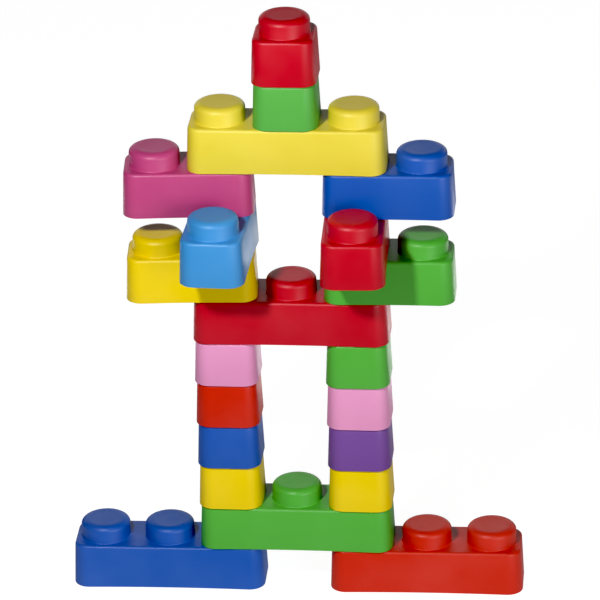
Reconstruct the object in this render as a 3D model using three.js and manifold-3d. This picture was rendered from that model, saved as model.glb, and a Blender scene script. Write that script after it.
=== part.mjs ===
// A figure-shaped tower of giant plastic stacking blocks.
// Each block is a hollow shell, open underneath, with one round stud on top for every pitch.
// The studs of one layer plug into the sockets of the layer above.
// Millimetres, +Z up. The figure faces -Y, and its left and right are the viewer's.
import * as THREE from 'three';
import { mergeVertices } from 'three/addons/utils/BufferGeometryUtils.js';
import Module from 'manifold-3d';

const wasm = await Module();
wasm.setup();

// ---- Driving dimensions of the block system ----
const PITCH = 84;              // from one stud's axis to the next
const LAYER = 58.8;            // height that one block adds to a stack
const SEAT_PLAY = 0.3;         // play between a rim and the top that it stands on
const BASE_WIDTH = 82;         // width of a block over its bottom rim
const DRAFT = 2.6;             // how far each wall leans in from rim to top
const CORNER_RADIUS = 20;      // upright corners, at the rim
const EDGE_RADIUS = 4;         // rounding between the walls and the top
const WALL = 3;                // thickness of walls, top and webs
const STUD_RADIUS = 32;
const STUD_HEIGHT = 23.5;
const STUD_ROUNDING = 10;      // rounding between a stud's side and its flat top
const GRIP_PLAY = 0.35;        // radial play between a stud and the ribs that hold it
const RIB_WIDTH = 5;

// ---- Values that follow from them ----
const BODY_HEIGHT = LAYER - SEAT_PLAY;
const CAVITY_HEIGHT = BODY_HEIGHT - WALL;
const GRIP_RADIUS = STUD_RADIUS + GRIP_PLAY;
const WALL_INSIDE = BASE_WIDTH / 2 - WALL;
const LEFT = -PITCH;           // axes of the two columns, and the middle between them
const MIDDLE = 0;
const RIGHT = PITCH;

// ---- Fineness of the round shapes ----
const CORNER_SEGMENTS = 2;
const EDGE_ROWS = 1;
const STUD_ROWS = 2;
const STUD_SEGMENTS = 16;
const HOLLOW_SEGMENTS = 8;
const BITE = 0.3;              // how deep a rib or web reaches into what carries it

const COLOURS = {
  blue: 0x1f56b4,
  sky: 0x3b9ddb,
  red: 0xc4122a,
  orangeRed: 0xd23a18,
  yellow: 0xe9c400,
  paleYellow: 0xf3dc52,
  green: 0x4fae35,
  freshGreen: 0x5cb84f,
  rose: 0xc4457f,
  pink: 0xe896c2,
  purple: 0x71459a,
};

// Ways that a block can run, in degrees anticlockwise seen from above: the way its further studs run.
// A block with no way given runs to the right.
const TO_LEFT = 180;
const TO_FRONT = 270;

// Every block of the figure, from the floor up. A bridge runs from the left column to the right.
// A turn is the few degrees by which a block has been set down askew on its stud.
const BLOCKS = [
  { name: 'left_foot_block', colour: 'blue', studs: 3, axis: LEFT, level: 1, way: TO_LEFT, turn: 0.8 },
  { name: 'right_foot_block', colour: 'orangeRed', studs: 3, axis: RIGHT, level: 1, turn: 0.8 },
  { name: 'hip_block', colour: 'green', studs: 3, axis: LEFT, level: 2 },
  { name: 'left_leg_block_1', colour: 'yellow', studs: 1, axis: LEFT, level: 3 },
  { name: 'left_leg_block_2', colour: 'blue', studs: 1, axis: LEFT, level: 4 },
  { name: 'left_leg_block_3', colour: 'orangeRed', studs: 1, axis: LEFT, level: 5 },
  { name: 'left_leg_block_4', colour: 'pink', studs: 1, axis: LEFT, level: 6 },
  { name: 'right_leg_block_1', colour: 'yellow', studs: 1, axis: RIGHT, level: 3 },
  { name: 'right_leg_block_2', colour: 'purple', studs: 1, axis: RIGHT, level: 4 },
  { name: 'right_leg_block_3', colour: 'pink', studs: 1, axis: RIGHT, level: 5 },
  { name: 'right_leg_block_4', colour: 'green', studs: 1, axis: RIGHT, level: 6 },
  { name: 'waist_block', colour: 'red', studs: 3, axis: LEFT, level: 7 },
  { name: 'left_lower_arm_block', colour: 'yellow', studs: 2, axis: LEFT, level: 8, way: TO_LEFT, turn: 4 },
  { name: 'right_lower_arm_block', colour: 'green', studs: 2, axis: RIGHT, level: 8, turn: 1 },
  { name: 'left_front_arm_block', colour: 'sky', studs: 2, axis: LEFT, level: 9, way: TO_FRONT, turn: -2 },
  { name: 'right_front_arm_block', colour: 'red', studs: 2, axis: RIGHT, level: 9, way: TO_FRONT, turn: 2 },
  { name: 'left_upper_arm_block', colour: 'rose', studs: 2, axis: LEFT, level: 10, way: TO_LEFT, turn: 4.5 },
  { name: 'right_upper_arm_block', colour: 'blue', studs: 2, axis: RIGHT, level: 10, turn: 0.5 },
  { name: 'shoulder_block', colour: 'paleYellow', studs: 3, axis: LEFT, level: 11 },
  { name: 'neck_block', colour: 'freshGreen', studs: 1, axis: MIDDLE, level: 12 },
  { name: 'head_block', colour: 'red', studs: 1, axis: MIDDLE, level: 13 },
];

// ---- Solids and geometries ----
function solid(geometry) {
  const bare = new THREE.BufferGeometry();
  bare.setAttribute('position', geometry.attributes.position);
  bare.setIndex(geometry.index);
  const merged = mergeVertices(bare, 1e-4);
  const mesh = new wasm.Mesh({
    numProp: 3,
    vertProperties: new Float32Array(merged.attributes.position.array),
    triVerts: new Uint32Array(merged.index.array),
  });
  return new wasm.Manifold(mesh);
}

function geometryOf(body) {
  const mesh = body.getMesh();
  const geometry = new THREE.BufferGeometry();
  geometry.setAttribute('position', new THREE.BufferAttribute(mesh.vertProperties, 3));
  geometry.setIndex(new THREE.BufferAttribute(mesh.triVerts, 1));
  geometry.computeVertexNormals();
  return geometry;
}

// A quarter round of the given radius, as steps inward and upward from where it leaves the side.
function quarterRound(radius, rows) {
  const steps = [];
  for (let row = 1; row <= rows; row += 1) {
    const angle = (row / rows) * (Math.PI / 2);
    steps.push({ inward: radius * (1 - Math.cos(angle)), upward: radius * Math.sin(angle) });
  }
  return steps;
}

// ---- The block's body ----
function roundedRectangle(halfLength, halfWidth, radius) {
  const shape = new THREE.Shape();
  const x = halfLength - radius;
  const y = halfWidth - radius;
  shape.absarc(x, y, radius, 0, Math.PI / 2);
  shape.absarc(-x, y, radius, Math.PI / 2, Math.PI);
  shape.absarc(-x, -y, radius, Math.PI, 1.5 * Math.PI);
  shape.absarc(x, -y, radius, 1.5 * Math.PI, 2 * Math.PI);
  shape.closePath();
  return shape;
}

// An upright prism over the studs' row, whose outline draws in from row to row.
// The first stud's axis is x = 0 and the others follow along +X.
function draftedPrism(studs, halfWidth, radius, rows) {
  const halfLength = ((studs - 1) * PITCH) / 2 + halfWidth;
  const steps = rows.length - 1;
  const geometry = new THREE.ExtrudeGeometry(roundedRectangle(halfLength, halfWidth, radius), {
    depth: steps,
    steps,
    bevelEnabled: false,
    curveSegments: CORNER_SEGMENTS,
  });
  const position = geometry.attributes.position;
  const coreX = halfLength - radius;
  const coreY = halfWidth - radius;
  for (let i = 0; i < position.count; i += 1) {
    const row = rows[Math.round(position.getZ(i))];
    const shrink = (radius - row.inset) / radius;
    const nearX = THREE.MathUtils.clamp(position.getX(i), -coreX, coreX);
    const nearY = THREE.MathUtils.clamp(position.getY(i), -coreY, coreY);
    const x = nearX + (position.getX(i) - nearX) * shrink;
    const y = nearY + (position.getY(i) - nearY) * shrink;
    position.setXYZ(i, x, y, row.height);
  }
  geometry.translate(((studs - 1) * PITCH) / 2, 0, 0);
  return geometry;
}

function leanAt(height) {
  return (DRAFT * height) / BODY_HEIGHT;
}

function outerBody(studs) {
  const edgeStart = BODY_HEIGHT - EDGE_RADIUS;
  const rows = [{ height: 0, inset: 0 }, { height: edgeStart, inset: leanAt(edgeStart) }];
  for (const step of quarterRound(EDGE_RADIUS, EDGE_ROWS)) {
    rows.push({ height: edgeStart + step.upward, inset: leanAt(edgeStart) + step.inward });
  }
  return draftedPrism(studs, BASE_WIDTH / 2, CORNER_RADIUS, rows);
}

function cavity(studs) {
  const rows = [
    { height: -WALL, inset: leanAt(-WALL) },
    { height: CAVITY_HEIGHT, inset: leanAt(CAVITY_HEIGHT) },
  ];
  return draftedPrism(studs, WALL_INSIDE, CORNER_RADIUS - WALL, rows);
}

// ---- The studs ----
// A round dome with a flat top, from one height up to another.
function dome(radius, rounding, bottom, top, rows, segments) {
  const profile = [new THREE.Vector2(0, bottom), new THREE.Vector2(radius, bottom)];
  profile.push(new THREE.Vector2(radius, top - rounding));
  for (const step of quarterRound(rounding, rows)) {
    profile.push(new THREE.Vector2(radius - step.inward, top - rounding + step.upward));
  }
  profile.push(new THREE.Vector2(0, top));
  const geometry = new THREE.LatheGeometry(profile, segments);
  geometry.rotateX(Math.PI / 2);
  return geometry;
}

function stud(x) {
  const bottom = CAVITY_HEIGHT + WALL / 2;
  const top = BODY_HEIGHT + STUD_HEIGHT;
  return dome(STUD_RADIUS, STUD_ROUNDING, bottom, top, STUD_ROWS, STUD_SEGMENTS).translate(x, 0, 0);
}

function studHollow(x) {
  const bottom = CAVITY_HEIGHT - WALL;
  const top = BODY_HEIGHT + STUD_HEIGHT - WALL;
  const rounding = STUD_ROUNDING - WALL;
  return dome(STUD_RADIUS - WALL, rounding, bottom, top, EDGE_ROWS, HOLLOW_SEGMENTS).translate(x, 0, 0);
}

// ---- The ribs and webs inside ----
// A plate that stands on the rim plane and runs up into the top, centred on y = 0.
// Its ends lie at startFoot and endFoot at the rim, and at startHead and endHead at the top.
function uprightPlate(startFoot, endFoot, startHead, endHead, thickness) {
  const height = CAVITY_HEIGHT + BITE;
  const outline = new THREE.Shape();
  outline.moveTo(startFoot, 0);
  outline.lineTo(endFoot, 0);
  outline.lineTo(endHead, height);
  outline.lineTo(startHead, height);
  outline.closePath();
  const geometry = new THREE.ExtrudeGeometry(outline, { depth: thickness, bevelEnabled: false });
  return geometry.rotateX(Math.PI / 2).translate(0, thickness / 2, 0);
}

const WALL_REACH = WALL_INSIDE + BITE;
const WALL_REACH_HEAD = WALL_REACH - leanAt(CAVITY_HEIGHT + BITE);

// Four ribs grip the stud in a socket. They stand on the side walls, the end walls and the webs.
function gripRibs(x, hasWebBehind, hasWebAhead) {
  const webAt = { 0: hasWebAhead, 2: hasWebBehind };
  return [0, 1, 2, 3].map((quarter) => {
    const foot = webAt[quarter] ? PITCH / 2 : WALL_REACH;
    const head = webAt[quarter] ? PITCH / 2 : WALL_REACH_HEAD;
    const rib = uprightPlate(GRIP_RADIUS, foot, GRIP_RADIUS, head, RIB_WIDTH);
    return rib.rotateZ((quarter * Math.PI) / 2).translate(x, 0, 0);
  });
}

function crossWeb(x) {
  const web = uprightPlate(-WALL_REACH, WALL_REACH, -WALL_REACH_HEAD, WALL_REACH_HEAD, WALL);
  return web.rotateZ(Math.PI / 2).translate(x, 0, 0);
}

// ---- One whole block ----
function blockGeometry(studs) {
  let outside = solid(outerBody(studs));
  let inside = solid(cavity(studs));
  for (let i = 0; i < studs; i += 1) {
    outside = outside.add(solid(stud(i * PITCH)));
    inside = inside.add(solid(studHollow(i * PITCH)));
  }
  let block = outside.subtract(inside);
  for (let i = 0; i < studs; i += 1) {
    for (const rib of gripRibs(i * PITCH, i > 0, i < studs - 1)) {
      block = block.add(solid(rib));
    }
    if (i > 0) {
      block = block.add(solid(crossWeb((i - 0.5) * PITCH)));
    }
  }
  return geometryOf(block);
}

// ---- The figure ----
const geometries = { 1: blockGeometry(1), 2: blockGeometry(2), 3: blockGeometry(3) };

function place(entry) {
  const material = new THREE.MeshStandardMaterial({
    color: COLOURS[entry.colour],
    roughness: 0.42,
    metalness: 0,
  });
  const mesh = new THREE.Mesh(geometries[entry.studs], material);
  mesh.name = entry.name;
  mesh.position.set(entry.axis, 0, (entry.level - 1) * LAYER);
  mesh.rotation.z = THREE.MathUtils.degToRad((entry.way ?? 0) + (entry.turn ?? 0));
  return mesh;
}

const tower = new THREE.Group();
for (const entry of BLOCKS) {
  tower.add(place(entry));
}

// The origin is under the middle of the whole figure, on the floor.
tower.updateMatrixWorld(true);
const box = new THREE.Box3().setFromObject(tower, true);
tower.position.set(-(box.min.x + box.max.x) / 2, -(box.min.y + box.max.y) / 2, -box.min.z);
tower.updateMatrixWorld(true);

export default tower;
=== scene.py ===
# %% [markdown]
# # A figure built from giant stacking blocks
# The object is a toy: twenty-one big hollow plastic blocks, stacked into a figure with feet, legs,
# a waist, arms, shoulders, a neck and a head. There are only three shapes of block, with one, two
# or three round studs on top. So the lesson makes three mouldings with care, and then lays copies
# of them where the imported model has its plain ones.
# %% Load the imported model
import math

import bmesh
import bpy
from mathutils import Matrix, Vector


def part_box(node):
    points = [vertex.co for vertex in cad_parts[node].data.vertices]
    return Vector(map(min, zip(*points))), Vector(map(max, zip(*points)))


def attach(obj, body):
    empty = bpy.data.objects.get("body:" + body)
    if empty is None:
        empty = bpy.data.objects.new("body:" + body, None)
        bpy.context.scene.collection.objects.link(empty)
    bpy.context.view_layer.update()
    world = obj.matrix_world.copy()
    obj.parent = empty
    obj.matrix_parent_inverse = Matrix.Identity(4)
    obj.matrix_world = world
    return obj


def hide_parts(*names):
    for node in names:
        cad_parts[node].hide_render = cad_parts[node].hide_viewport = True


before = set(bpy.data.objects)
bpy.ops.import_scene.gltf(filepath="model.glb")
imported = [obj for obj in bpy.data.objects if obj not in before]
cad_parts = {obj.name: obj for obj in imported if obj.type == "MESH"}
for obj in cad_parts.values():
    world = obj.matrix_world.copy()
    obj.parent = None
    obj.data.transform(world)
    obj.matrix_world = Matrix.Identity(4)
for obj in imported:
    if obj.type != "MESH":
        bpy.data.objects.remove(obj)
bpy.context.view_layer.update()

# %% [markdown]
# ## The sizes of the block system
# Every block is the same moulding made longer. It has a wall that leans in towards the top, a round
# stud on every pitch, and an open underside where the studs of the next block go. The sizes are in
# metres. Naming them once keeps the three mouldings alike, which is what makes the blocks stack.
# %% Sizes shared by every block
MM = 0.001
PITCH = 84 * MM              # from one stud's axis to the next
BODY_HEIGHT = 58.5 * MM      # from the rim to the flat top
BASE_WIDTH = 82 * MM         # over the bottom rim
DRAFT = 2.6 * MM             # how far a wall leans in from rim to top
WALL = 3 * MM
CORNER_RADIUS = 20 * MM      # the upright corners
EDGE_RADIUS = 4 * MM         # between the walls and the flat top
CAVITY_HEIGHT = BODY_HEIGHT - WALL
print("a block with three studs is", round((2 * PITCH + BASE_WIDTH) / MM), "mm long")

# %% Sizes of a stud and its hollow
STUD_RADIUS = 32 * MM
STUD_HEIGHT = 23.5 * MM
STUD_SHOULDER = 10 * MM      # width of the rounding between a stud's side and its flat top
STUD_DROP = 7.5 * MM         # height of the same rounding
FOOT_FILLET = 1.2 * MM       # where a stud grows out of the top
GATE_RADIUS = 17 * MM        # the faint disc that the mould leaves on a stud's top
GATE_DEPTH = 0.05 * MM
GATE_SLOPE = 0.8 * MM        # width of the disc's sloping edge, and of the level ring inside it
RIB_WIDTH = 5 * MM
GRIP_RADIUS = STUD_RADIUS + 0.35 * MM    # the ribs just clear the stud they hold

# %% Fineness of the round shapes
CORNER_SEGMENTS = 10
EDGE_ROWS = 6
STUD_SEGMENTS = 64
STUD_ROWS = 9
FILLET_ROWS = 3
HOLLOW_SEGMENTS = 32
HOLLOW_ROWS = 4
LIP = 0.5 * MM               # a narrow flat band that keeps a big flat face's shading flat

# %% [markdown]
# ## A wall grown from its own outline
# A moulded wall follows one outline all the way up and only draws in a little, so that the block
# comes out of its mould. It could be a stack of copied outlines joined by hand. Inset with a depth
# does the same in one step: it shrinks the cap evenly and lifts it, and leaves a ring of faces
# behind. Repeated with small steps, it also turns every rounding, on a block or on a stud.
# %% Lift a cap and leave a ring behind
def grow(bm, cap, inward, upward):
    bmesh.ops.inset_region(
        bm, faces=[cap], thickness=inward, depth=upward, use_even_offset=True, use_boundary=True
    )


def grow_rounding(bm, cap, width, height, rows):
    """A quarter round, from upright to flat, in short steps of the same angle."""
    step = math.pi / 2 / rows
    for row in range(rows):
        inward = width * (math.cos(row * step) - math.cos((row + 1) * step))
        upward = height * (math.sin((row + 1) * step) - math.sin(row * step))
        grow(bm, cap, inward, upward)


def grow_fillet(bm, cap, radius, rows):
    """A quarter hollow, from flat to upright, such as where a stud meets the top."""
    step = math.pi / 2 / rows
    for row in range(rows):
        inward = radius * (math.sin((row + 1) * step) - math.sin(row * step))
        upward = radius * (math.cos(row * step) - math.cos((row + 1) * step))
        grow(bm, cap, inward, upward)


# %% [markdown]
# ## The outline
# Seen from above, a block is a long rectangle with rounded corners. A grid of one face gives the
# rectangle, and a bevel of its four corner points gives the arcs. The long sides get extra points,
# because the real walls bend a little between their corners, and a straight edge with no points
# can't bend.
# %% Make a flat rounded plate
LONG_SIDE_CUTS = {1: 0, 2: 8, 3: 14}


def is_free(face):
    """True for a plate that nothing has grown from yet."""
    return all(len(edge.link_faces) == 1 for edge in face.edges)


def plate(bm, studs, half_width, radius):
    """One face in the rim's plane, looking up, over a row of studs that starts at x = 0."""
    length = (studs - 1) * PITCH + 2 * half_width
    corners = bmesh.ops.create_grid(bm, x_segments=1, y_segments=1, size=0.5)["verts"]
    bmesh.ops.scale(bm, vec=(length, 2 * half_width, 1), verts=corners)
    bmesh.ops.translate(bm, vec=((studs - 1) * PITCH / 2, 0, 0), verts=corners)
    bmesh.ops.bevel(
        bm, geom=corners, affect="VERTICES", offset=radius, offset_type="OFFSET",
        segments=CORNER_SEGMENTS, profile=0.5, material=-1,
    )
    face = next(f for f in bm.faces if is_free(f))
    cuts = LONG_SIDE_CUTS[studs]
    if cuts:
        sides = [edge for edge in face.edges if edge.calc_length() > PITCH]
        bmesh.ops.bisect_edges(bm, edges=sides, cuts=cuts)
    face.normal_update()
    if face.normal.z < 0:
        face.normal_flip()
    return face


# %% [markdown]
# ## The studs
# A stud is a round puck with a broad soft rounding, so that a child can find the socket with it.
# A turned profile would do, but a disc that grows ring by ring uses the same step as the wall. The
# last rings draw the faint round mark that the mould leaves in the middle of a stud's top.
# %% Grow a stud from a disc
def disc(bm, x, z, radius, segments):
    """A round face looking up."""
    verts = bmesh.ops.create_circle(bm, cap_ends=True, segments=segments, radius=radius)["verts"]
    bmesh.ops.translate(bm, vec=(x, 0, z), verts=verts)
    cap = verts[0].link_faces[0]
    cap.normal_update()
    if cap.normal.z < 0:
        cap.normal_flip()
    return cap


def grow_stud(bm, x):
    cap = disc(bm, x, BODY_HEIGHT, STUD_RADIUS + FOOT_FILLET + LIP, STUD_SEGMENTS)
    grow(bm, cap, LIP, 0)
    grow_fillet(bm, cap, FOOT_FILLET, FILLET_ROWS)
    grow(bm, cap, 0, STUD_HEIGHT - FOOT_FILLET - STUD_DROP)
    grow_rounding(bm, cap, STUD_SHOULDER, STUD_DROP, STUD_ROWS)
    grow(bm, cap, LIP, 0)
    flat_radius = STUD_RADIUS - STUD_SHOULDER - LIP
    grow(bm, cap, flat_radius - GATE_RADIUS, 0)
    grow(bm, cap, GATE_SLOPE, -GATE_DEPTH)
    grow(bm, cap, GATE_SLOPE, 0)


def grow_hollow(bm, x):
    cap = disc(bm, x, CAVITY_HEIGHT, STUD_RADIUS - WALL, HOLLOW_SEGMENTS)
    shoulder, drop = STUD_SHOULDER - WALL, STUD_DROP - WALL
    grow(bm, cap, 0, STUD_HEIGHT - drop)
    grow_rounding(bm, cap, shoulder, drop, HOLLOW_ROWS)


# %% [markdown]
# ## The shell
# The block is a shell of even thickness: an outside with studs, and a cavity with a hollow under
# each stud. Both are grown the same way. Their flat tops are cut out and filled again round the
# circles of the studs, so that the studs and the top share their points. Bridging the two outlines
# at the bottom makes the rim, and closes the shell.
# %% Fill a flat top round its circles
def fill_round(bm, cap, height):
    """Replaces a flat cap with triangles that leave the open circles at the same height free."""
    bmesh.ops.delete(bm, geom=[cap], context="FACES_ONLY")
    edges = [
        edge for edge in bm.edges
        if edge.is_boundary and all(abs(vert.co.z - height) < LIP for vert in edge.verts)
    ]
    bmesh.ops.triangle_fill(bm, use_beauty=True, edges=edges, normal=(0, 0, 1))


# %% Grow the outside and the cavity
def lean_at(height):
    return DRAFT * height / BODY_HEIGHT


def grow_outside(bm, studs):
    cap = plate(bm, studs, BASE_WIDTH / 2, CORNER_RADIUS)
    edge_start = BODY_HEIGHT - EDGE_RADIUS
    grow(bm, cap, lean_at(edge_start), edge_start)
    grow_rounding(bm, cap, EDGE_RADIUS, EDGE_RADIUS, EDGE_ROWS)
    grow(bm, cap, LIP, 0)
    for i in range(studs):
        grow_stud(bm, i * PITCH)
    fill_round(bm, cap, BODY_HEIGHT)


def grow_cavity(bm, studs):
    cap = plate(bm, studs, BASE_WIDTH / 2 - WALL, CORNER_RADIUS - WALL)
    grow(bm, cap, lean_at(CAVITY_HEIGHT), CAVITY_HEIGHT)
    for i in range(studs):
        grow_hollow(bm, i * PITCH)
    fill_round(bm, cap, CAVITY_HEIGHT)


# %% [markdown]
# ## The bow in the long walls
# A long thin wall shrinks as it cools, and its rim ends up bent inward between the corners. It is
# the small fault that tells a moulded block from a drawn one. The points of the long walls are
# moved, most at the rim's middle and not at all at the corners or the top.
# %% Bend the long walls inward
BOW = {1: 0, 2: 1.2 * MM, 3: 2.2 * MM}


def bow_walls(bm, studs):
    middle = (studs - 1) * PITCH / 2
    half_span = middle + BASE_WIDTH / 2 - CORNER_RADIUS
    for vert in bm.verts:
        along = (vert.co.x - middle) / half_span
        if abs(along) < 1 and abs(vert.co.y) > BASE_WIDTH / 2 - CORNER_RADIUS:
            rise = max(0, 1 - vert.co.z / CAVITY_HEIGHT)
            vert.co.y -= math.copysign(BOW[studs] * rise * (1 - along * along), vert.co.y)


# %% [markdown]
# ## The ribs inside
# Four ribs in every socket hold the stud of the block below, and a web stands between two sockets.
# They are plates that lean with the wall they stand on. They start as boxes whose ends are pulled
# to the wall, and a Boolean union joins them to the shell into one clean solid.
# %% Make one upright rib
RIB_RECESS = 1 * MM          # the ribs end a little above the rim
RIB_TOP = CAVITY_HEIGHT + 0.6 * MM       # into the top, so that the union has no gap
WALL_REACH = BASE_WIDTH / 2 - WALL + 0.5 * MM    # into the wall, for the same reason


def rib(bm, start, end, thickness, turn, x):
    """A plate between two distances from an axis. A distance at the wall leans with the wall."""
    verts = bmesh.ops.create_cube(bm, size=1)["verts"]
    for vert in verts:
        reach = end if vert.co.x > 0 else start
        if abs(reach) == WALL_REACH:
            height = RIB_TOP if vert.co.z > 0 else RIB_RECESS
            reach -= math.copysign(lean_at(height), reach)
        vert.co.x = reach
        vert.co.y *= thickness
        vert.co.z = RIB_TOP if vert.co.z > 0 else RIB_RECESS
    place = Matrix.Translation((x, 0, 0)) @ Matrix.Rotation(turn, 4, "Z")
    bmesh.ops.transform(bm, matrix=place, verts=verts)


# %% Set out all the ribs and webs of a block
def rib_mesh(studs):
    bm = bmesh.new()
    for i in range(studs):
        for quarter in range(4):
            meets_web = (quarter == 0 and i < studs - 1) or (quarter == 2 and i > 0)
            end = PITCH / 2 if meets_web else WALL_REACH
            rib(bm, GRIP_RADIUS, end, RIB_WIDTH, quarter * math.pi / 2, i * PITCH)
        if i > 0:
            rib(bm, -WALL_REACH, WALL_REACH, WALL, math.pi / 2, (i - 0.5) * PITCH)
    bmesh.ops.recalc_face_normals(bm, faces=bm.faces)
    mesh = bpy.data.meshes.new(f"ribs_for_{studs}")
    bm.to_mesh(mesh)
    bm.free()
    return mesh


# %% [markdown]
# ## One finished moulding for each length
# The shell is closed at the rim, bent, and joined with its ribs. The rim's edges get a very small
# rounding, because a moulded edge is never quite sharp and the light catches it. The edges that are
# still sharp, inside the block, are marked so, and everything else is shaded smooth.
# %% Close the shell
RIM_ROUNDING = 0.5 * MM


def shell_mesh(studs):
    bm = bmesh.new()
    grow_cavity(bm, studs)
    bmesh.ops.reverse_faces(bm, faces=bm.faces)
    grow_outside(bm, studs)
    open_edges = [edge for edge in bm.edges if edge.is_boundary]
    rim_faces = bmesh.ops.bridge_loops(bm, edges=open_edges)["faces"]
    bmesh.ops.recalc_face_normals(bm, faces=bm.faces)
    bow_walls(bm, studs)
    in_rim = set(rim_faces)
    corners = [e for e in open_edges if e.is_valid and not in_rim.issuperset(e.link_faces)]
    bmesh.ops.bevel(
        bm, geom=corners, affect="EDGES", offset=RIM_ROUNDING, offset_type="OFFSET",
        segments=2, profile=0.5, material=-1,
    )
    mesh = bpy.data.meshes.new(f"shell_for_{studs}")
    bm.to_mesh(mesh)
    bm.free()
    return mesh


# %% Join the shell and its ribs
SHARP_FROM = math.radians(38)


def joined(shell, ribs):
    body = bpy.data.objects.new("shell", shell)
    inside = bpy.data.objects.new("ribs", ribs)
    for part in (body, inside):
        bpy.context.scene.collection.objects.link(part)
    union = body.modifiers.new("ribs", "BOOLEAN")
    union.operation = "UNION"
    union.solver = "EXACT"
    union.use_self = True
    union.object = inside
    graph = bpy.context.evaluated_depsgraph_get()
    mesh = bpy.data.meshes.new_from_object(body.evaluated_get(graph))
    for part in (body, inside):
        bpy.data.objects.remove(part)
    return mesh


# %% Make the three mouldings
SAME_POINT = 0.01 * MM


def moulding(studs):
    mesh = joined(shell_mesh(studs), rib_mesh(studs))
    bm = bmesh.new()
    bm.from_mesh(mesh)
    bmesh.ops.remove_doubles(bm, verts=bm.verts, dist=SAME_POINT)
    for face in bm.faces:
        face.smooth = True
    for edge in bm.edges:
        edge.smooth = edge.is_manifold and edge.calc_face_angle(math.pi) < SHARP_FROM
    loose = sum(not edge.is_manifold for edge in bm.edges)
    print("moulding with", studs, "studs:", len(bm.faces), "faces,", loose, "open edges,",
          round(bm.calc_volume() * 1e6, 1), "cm3")
    bm.to_mesh(mesh)
    bm.free()
    return mesh


mouldings = {studs: moulding(studs) for studs in (1, 2, 3)}

# %% [markdown]
# ## The plastic
# The blocks are a satin plastic, dyed all through. One colour isn't enough to say that. The dye
# clouds a little over a hand's width, the skin of the mould is finely grained, and handling leaves
# patches that are a touch smoother or duller. Each finish is a small set of nodes on the Object
# coordinates. The mouldings are laid out in one space, so no two blocks carry the same clouds.
# %% Small helpers for the nodes
def link(tree, source, output, target, value):
    tree.links.new(source.outputs[output], target.inputs[value])


NOISE_LOW, NOISE_HIGH = 0.3, 0.7         # between these lies nearly all of a noise


def cloud(tree, place, scale, detail, roughness=0.5):
    node = tree.nodes.new("ShaderNodeTexNoise")
    node.inputs["Scale"].default_value = scale
    node.inputs["Detail"].default_value = detail
    node.inputs["Roughness"].default_value = roughness
    link(tree, place, "Object", node, "Vector")
    return node


def spread(tree, source, lowest, highest):
    node = tree.nodes.new("ShaderNodeMapRange")
    node.inputs["From Min"].default_value = NOISE_LOW
    node.inputs["From Max"].default_value = NOISE_HIGH
    node.inputs["To Min"].default_value = lowest
    node.inputs["To Max"].default_value = highest
    link(tree, source, "Fac", node, "Value")
    return node


# %% Build a satin plastic of one colour
CLOUD_SCALE = 9              # clouds of dye about a hand wide
DYE_VALUE = (0.95, 1.04)     # a cloud's darkest and lightest part
DYE_STRENGTH = (1.02, 0.98)  # the darker part is a little stronger in colour
HANDLING_SCALE = 38          # patches about a thumb wide
HANDLING_ROUGHNESS = 0.62
SATIN = (0.42, 0.52)         # roughness where it is handled smooth, and where it is dull
GRAIN_SCALE = 1400           # the mould's grain, under a millimetre
GRAIN_STRENGTH = 0.12
GRAIN_HEIGHT = 0.1 * MM
PLASTIC_IOR = 1.5


def satin_plastic(name, colour):
    material = bpy.data.materials.new(name)
    material.use_nodes = True
    tree = material.node_tree
    shader = tree.nodes["Principled BSDF"]
    place = tree.nodes.new("ShaderNodeTexCoord")
    dye = tree.nodes.new("ShaderNodeHueSaturation")
    dye.inputs["Color"].default_value = (*colour, 1)
    clouds = cloud(tree, place, CLOUD_SCALE, 3)
    link(tree, spread(tree, clouds, *DYE_VALUE), "Result", dye, "Value")
    link(tree, spread(tree, clouds, *DYE_STRENGTH), "Result", dye, "Saturation")
    link(tree, dye, "Color", shader, "Base Color")
    handling = cloud(tree, place, HANDLING_SCALE, 6, HANDLING_ROUGHNESS)
    link(tree, spread(tree, handling, *SATIN), "Result", shader, "Roughness")
    grain = cloud(tree, place, GRAIN_SCALE, 2)
    bump = tree.nodes.new("ShaderNodeBump")
    bump.inputs["Strength"].default_value = GRAIN_STRENGTH
    bump.inputs["Distance"].default_value = GRAIN_HEIGHT
    link(tree, grain, "Fac", bump, "Height")
    link(tree, bump, "Normal", shader, "Normal")
    shader.inputs["IOR"].default_value = PLASTIC_IOR
    return material


# %% Mix the eleven colours
COLOURS = {
    "blue": (0.013, 0.087, 0.411),
    "light_blue": (0.048, 0.256, 0.578),
    "red": (0.481, 0.004, 0.016),
    "orange_red": (0.549, 0.0155, 0.001),
    "yellow": (0.777, 0.569, 0.001),
    "pale_yellow": (0.704, 0.577, 0.054),
    "green": (0.081, 0.393, 0.043),
    "fresh_green": (0.091, 0.379, 0.062),
    "magenta": (0.457, 0.06, 0.186),
    "pink": (0.723, 0.287, 0.504),
    "purple": (0.167, 0.066, 0.295),
}
plastics = {name: satin_plastic(f"{name}_plastic", value) for name, value in COLOURS.items()}
print("plastics:", ", ".join(plastics))

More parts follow.
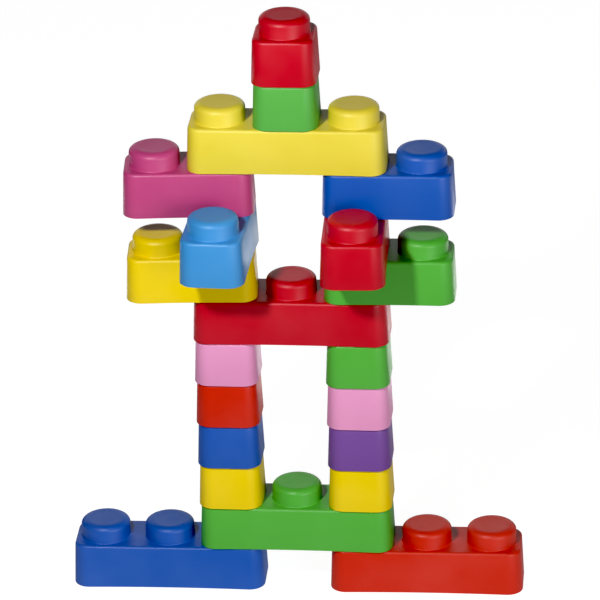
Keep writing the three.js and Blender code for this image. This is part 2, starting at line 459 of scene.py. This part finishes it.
# %% [markdown]
# ## The figure
# Every block stands on a stud of the block below, so its place is the axis of that stud and the
# height of its own rim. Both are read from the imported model. A block on one stud can also be turned
# on it, and a child never sets it quite straight: the few degrees in the table are that.
# %% The blocks, from the floor up
TO_LEFT, TO_RIGHT, TO_FRONT = 180, 0, 270
BLOCKS = [
    # name, colour, studs, column, way the row runs, degrees askew
    ("left_foot_block", "blue", 3, "left", TO_LEFT, 0.8),
    ("right_foot_block", "orange_red", 3, "right", TO_RIGHT, 0.8),
    ("hip_block", "green", 3, "left", TO_RIGHT, 0),
    ("left_leg_block_1", "yellow", 1, "left", TO_RIGHT, 0),
    ("left_leg_block_2", "blue", 1, "left", TO_RIGHT, 0),
    ("left_leg_block_3", "orange_red", 1, "left", TO_RIGHT, 0),
    ("left_leg_block_4", "pink", 1, "left", TO_RIGHT, 0),
    ("right_leg_block_1", "yellow", 1, "right", TO_RIGHT, 0),
    ("right_leg_block_2", "purple", 1, "right", TO_RIGHT, 0),
    ("right_leg_block_3", "pink", 1, "right", TO_RIGHT, 0),
    ("right_leg_block_4", "green", 1, "right", TO_RIGHT, 0),
    ("waist_block", "red", 3, "left", TO_RIGHT, 0),
    ("left_lower_arm_block", "yellow", 2, "left", TO_LEFT, 4),
    ("right_lower_arm_block", "green", 2, "right", TO_RIGHT, 1),
    ("left_front_arm_block", "light_blue", 2, "left", TO_FRONT, -2),
    ("right_front_arm_block", "red", 2, "right", TO_FRONT, 2),
    ("left_upper_arm_block", "magenta", 2, "left", TO_LEFT, 4.5),
    ("right_upper_arm_block", "blue", 2, "right", TO_RIGHT, 0.5),
    ("shoulder_block", "pale_yellow", 3, "left", TO_RIGHT, 0),
    ("neck_block", "fresh_green", 1, "middle", TO_RIGHT, 0),
    ("head_block", "red", 1, "middle", TO_RIGHT, 0),
]


# %% Where the columns stand
def axis_of(node):
    low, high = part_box(node)
    return (low.x + high.x) / 2, (low.y + high.y) / 2


COLUMNS = {
    "left": axis_of("left_leg_block_1"),
    "middle": axis_of("neck_block"),
    "right": axis_of("right_leg_block_1"),
}
print("columns at", {name: [round(v, 4) for v in axis] for name, axis in COLUMNS.items()})


# %% Lay a moulding in place of every packed block
def lay_block(name, colour, studs, column, way, askew):
    x, y = COLUMNS[column]
    low, _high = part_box(name)
    turn = math.radians(way + askew)
    mesh = mouldings[studs].copy()
    mesh.transform(Matrix.Translation((x, y, low.z)) @ Matrix.Rotation(turn, 4, "Z"))
    mesh.materials.clear()
    mesh.materials.append(plastics[colour])
    piece = bpy.data.objects.new(f"{name}_moulding", mesh)
    bpy.context.scene.collection.objects.link(piece)
    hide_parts(name)
    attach(piece, name)
    return piece


pieces = [lay_block(*block) for block in BLOCKS]
print("laid", len(pieces), "blocks,", sum(len(p.data.polygons) for p in pieces), "faces")

# %% [markdown]
# ## The floor and the light
# The figure stands in a white studio. A camera sees a plain white floor with a faint shadow, but
# the plastic sees more: white boards that throw soft light up on the walls, and a bright one close
# behind that puts the pale sheen on the flat tops and on the sides. In a real studio these boards
# stand just out of view. Here each board is a sheet that the camera doesn't see, and it serves
# either the soft light or the reflections, so that the two can be set apart.
# %% Sheets that glow
def stage_material(name, grey, glow):
    material = bpy.data.materials.new(name)
    material.use_nodes = True
    shader = material.node_tree.nodes["Principled BSDF"]
    shader.inputs["Base Color"].default_value = (grey, grey, grey, 1)
    shader.inputs["Roughness"].default_value = 1
    shader.inputs["Specular IOR Level"].default_value = 0
    shader.inputs["Emission Color"].default_value = (1, 1, 1, 1)
    shader.inputs["Emission Strength"].default_value = glow
    return material


def flat_sheet(name, half_x, half_y, place, material):
    bm = bmesh.new()
    bmesh.ops.create_grid(bm, x_segments=1, y_segments=1, size=1)
    bmesh.ops.scale(bm, vec=(half_x, half_y, 1), verts=bm.verts)
    bmesh.ops.transform(bm, matrix=place, verts=bm.verts)
    mesh = bpy.data.meshes.new(name)
    bm.to_mesh(mesh)
    bm.free()
    mesh.materials.append(material)
    sheet = bpy.data.objects.new(name, mesh)
    bpy.context.scene.collection.objects.link(sheet)
    return sheet


# %% The white floor
FLOOR_GREY = 0.20            # the part of the floor that takes a shadow
FLOOR_GLOW = 0.965           # the part that stays white in the shadow
FLOOR_HALF = 6
floor_white = stage_material("floor_white", FLOOR_GREY, FLOOR_GLOW)
floor = flat_sheet("floor", FLOOR_HALF, FLOOR_HALF, Matrix.Identity(4), floor_white)
floor.visible_diffuse = False
floor.visible_glossy = False
print("floor:", tuple(floor.dimensions)[:2], "m")

# %% The boards that only the plastic sees
UNDER_FLOOR = -0.002
UPRIGHT = Matrix.Rotation(math.radians(90), 4, "X")
BOARDS = [
    # name, half width, half depth, middle, upright, soft light, reflection
    ("board_in_front", 1.35, 0.75, (0, -0.85, UNDER_FLOOR), False, 0.45, 0.6),
    ("board_below", 1.35, 0.35, (0, 0.25, UNDER_FLOOR), False, 0.9, 0.37),
    ("board_behind", 1.35, 0.3, (0, 0.9, UNDER_FLOOR), False, 0.6, 2.6),
    ("board_far_behind", 1.35, 1.6, (0, 2.8, UNDER_FLOOR), False, 0.9, 0.3),
    ("board_at_right", 1.3, 3.0, (2.65, 0, UNDER_FLOOR), False, 1.4, 0.5),
    ("wall_behind", 2.2, 0.4, (0, 4.4, 0.4), True, 0, 0.6),
    ("card_behind", 2.2, 0.3, (0, 2.3, 1.0), True, 0, 2.2),
    ("card_above", 2.2, 0.15, (0, 2.3, 1.45), True, 0, 0.5),
]


def board(name, half_x, half_y, middle, is_upright, soft_light, reflection):
    place = Matrix.Translation(middle) @ (UPRIGHT if is_upright else Matrix.Identity(4))
    for use, glow in (("soft", soft_light), ("sheen", reflection)):
        if glow:
            material = stage_material(f"{name}_{use}", 0, glow)
            sheet = flat_sheet(f"{name}_{use}", half_x, half_y, place, material)
            sheet.visible_camera = False
            sheet.visible_diffuse = use == "soft"
            sheet.visible_glossy = use == "sheen"


for entry in BOARDS:
    board(*entry)


# %% The lamps
def lamp(name, place, aim, size, watts):
    data = bpy.data.lights.new(name, "AREA")
    data.shape = "SQUARE"
    data.size = size
    data.energy = watts
    light = bpy.data.objects.new(name, data)
    bpy.context.scene.collection.objects.link(light)
    facing = (Vector(place) - Vector(aim)).to_track_quat("Z", "Y").to_matrix().to_4x4()
    light.matrix_world = Matrix.Translation(place) @ facing
    light.visible_camera = False


CHEST = (0, 0, 0.4)
lamp("key_lamp", (-0.428, -1.196, 1.479), CHEST, 0.12, 22.5)
lamp("soft_box", (2.2, -2.6, 0.9), CHEST, 1.6, 60)

# %% The air around
AIR_GREY = 0.05              # what the plastic sees between the boards

world = bpy.data.worlds.new("studio")
bpy.context.scene.world = world
world.use_nodes = True
air = world.node_tree
dim = air.nodes["Background"]
dim.inputs["Color"].default_value = (AIR_GREY, AIR_GREY, AIR_GREY, 1)
pale = air.nodes.new("ShaderNodeBackground")
seen = air.nodes.new("ShaderNodeLightPath")
choice = air.nodes.new("ShaderNodeMixShader")
pale.inputs["Color"].default_value = (1, 1, 1, 1)
air.links.new(seen.outputs["Is Camera Ray"], choice.inputs["Fac"])
air.links.new(dim.outputs["Background"], choice.inputs[1])
air.links.new(pale.outputs["Background"], choice.inputs[2])
air.links.new(choice.outputs["Shader"], air.nodes["World Output"].inputs["Surface"])

# %% The contrast of the picture
BLACK_LEVEL = 0.02           # a camera sets its black a little above nothing
picture = bpy.context.scene.view_settings
picture.view_transform = "Standard"
picture.use_curve_mapping = True
picture.curve_mapping.black_level = (BLACK_LEVEL, BLACK_LEVEL, BLACK_LEVEL)
picture.curve_mapping.update()

# %% [markdown]
# ## The camera
# The camera stands about five metres in front of the figure and looks down on it with a long lens,
# so the stack hardly narrows towards the floor. It is turned by three angles in the order of a
# tripod: the heading, the tilt, and a small roll.
# %% Set up the camera
CAMERA_PLACE = (0.542, -4.967, 2.733)
HEADING = math.radians(-6.06)
TILT = math.radians(24.87)
ROLL = math.radians(-1.54)
LENS = 262.2
SENSOR_WIDTH = 36

camera_data = bpy.data.cameras.new("camera")
camera_data.lens = LENS
camera_data.sensor_width = SENSOR_WIDTH
camera = bpy.data.objects.new("camera", camera_data)
bpy.context.scene.collection.objects.link(camera)
camera.matrix_world = (
    Matrix.Translation(CAMERA_PLACE)
    @ Matrix.Rotation(-HEADING, 4, "Z")
    @ Matrix.Rotation(math.pi / 2 - TILT, 4, "X")
    @ Matrix.Rotation(ROLL, 4, "Z")
)
bpy.context.scene.camera = camera

# %% [markdown]
# ## The last step
# The view layer is updated once more, so that every block, sheet and lamp stands in its place.
# %% Update the scene and finish
bpy.context.view_layer.update()
